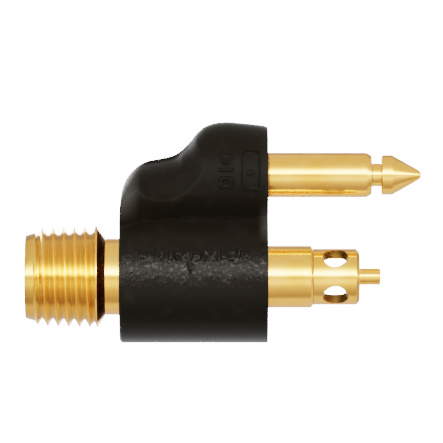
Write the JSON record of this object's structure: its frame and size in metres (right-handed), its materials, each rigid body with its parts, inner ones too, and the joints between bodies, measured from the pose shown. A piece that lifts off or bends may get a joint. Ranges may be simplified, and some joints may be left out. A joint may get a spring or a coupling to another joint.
{
  "type": "marine fuel tank connector",
  "caption": "Twin-prong male fuel coupling: tapered brass tank thread, moulded black grip, ported brass tube with a spring valve pin, and a locating pin with a snap groove.",
  "frame": {"origin": "on the axis of the tapered thread, in the plane of its tank end", "axes": "+X from the tank thread to the prong tips, +Z from the fuel tube's axis to the locating pin's axis, +Y across the grip, away from the viewer of its front side"},
  "size_m": [0.0527, 0.0176, 0.0294],
  "materials": {
    "black_nylon": "semi-matt black glass-filled nylon, worn on its high faces",
    "brass": "bright turned brass",
    "nitrile": "matt black nitrile",
    "stainless": "drawn stainless spring wire"
  },
  "bodies": {
    "fitting": {"grip_body": "black_nylon", "threaded_stem": "brass", "valve_nose": "brass", "locating_pin": "brass", "spring_retainer": "brass", "valve_spring": "stainless"},
    "poppet": {"poppet_pin": "brass", "poppet_o_ring": "nitrile"}
  },
  "joints": [
    {"name": "poppet_slide", "type": "slide", "parent": "fitting", "child": "poppet", "axis": [-1, 0, 0], "range_m": [0, 0.0022], "stiffness_N_per_m": 400, "springref_m": -0.004, "deforming": ["valve_spring"]}
  ]
}
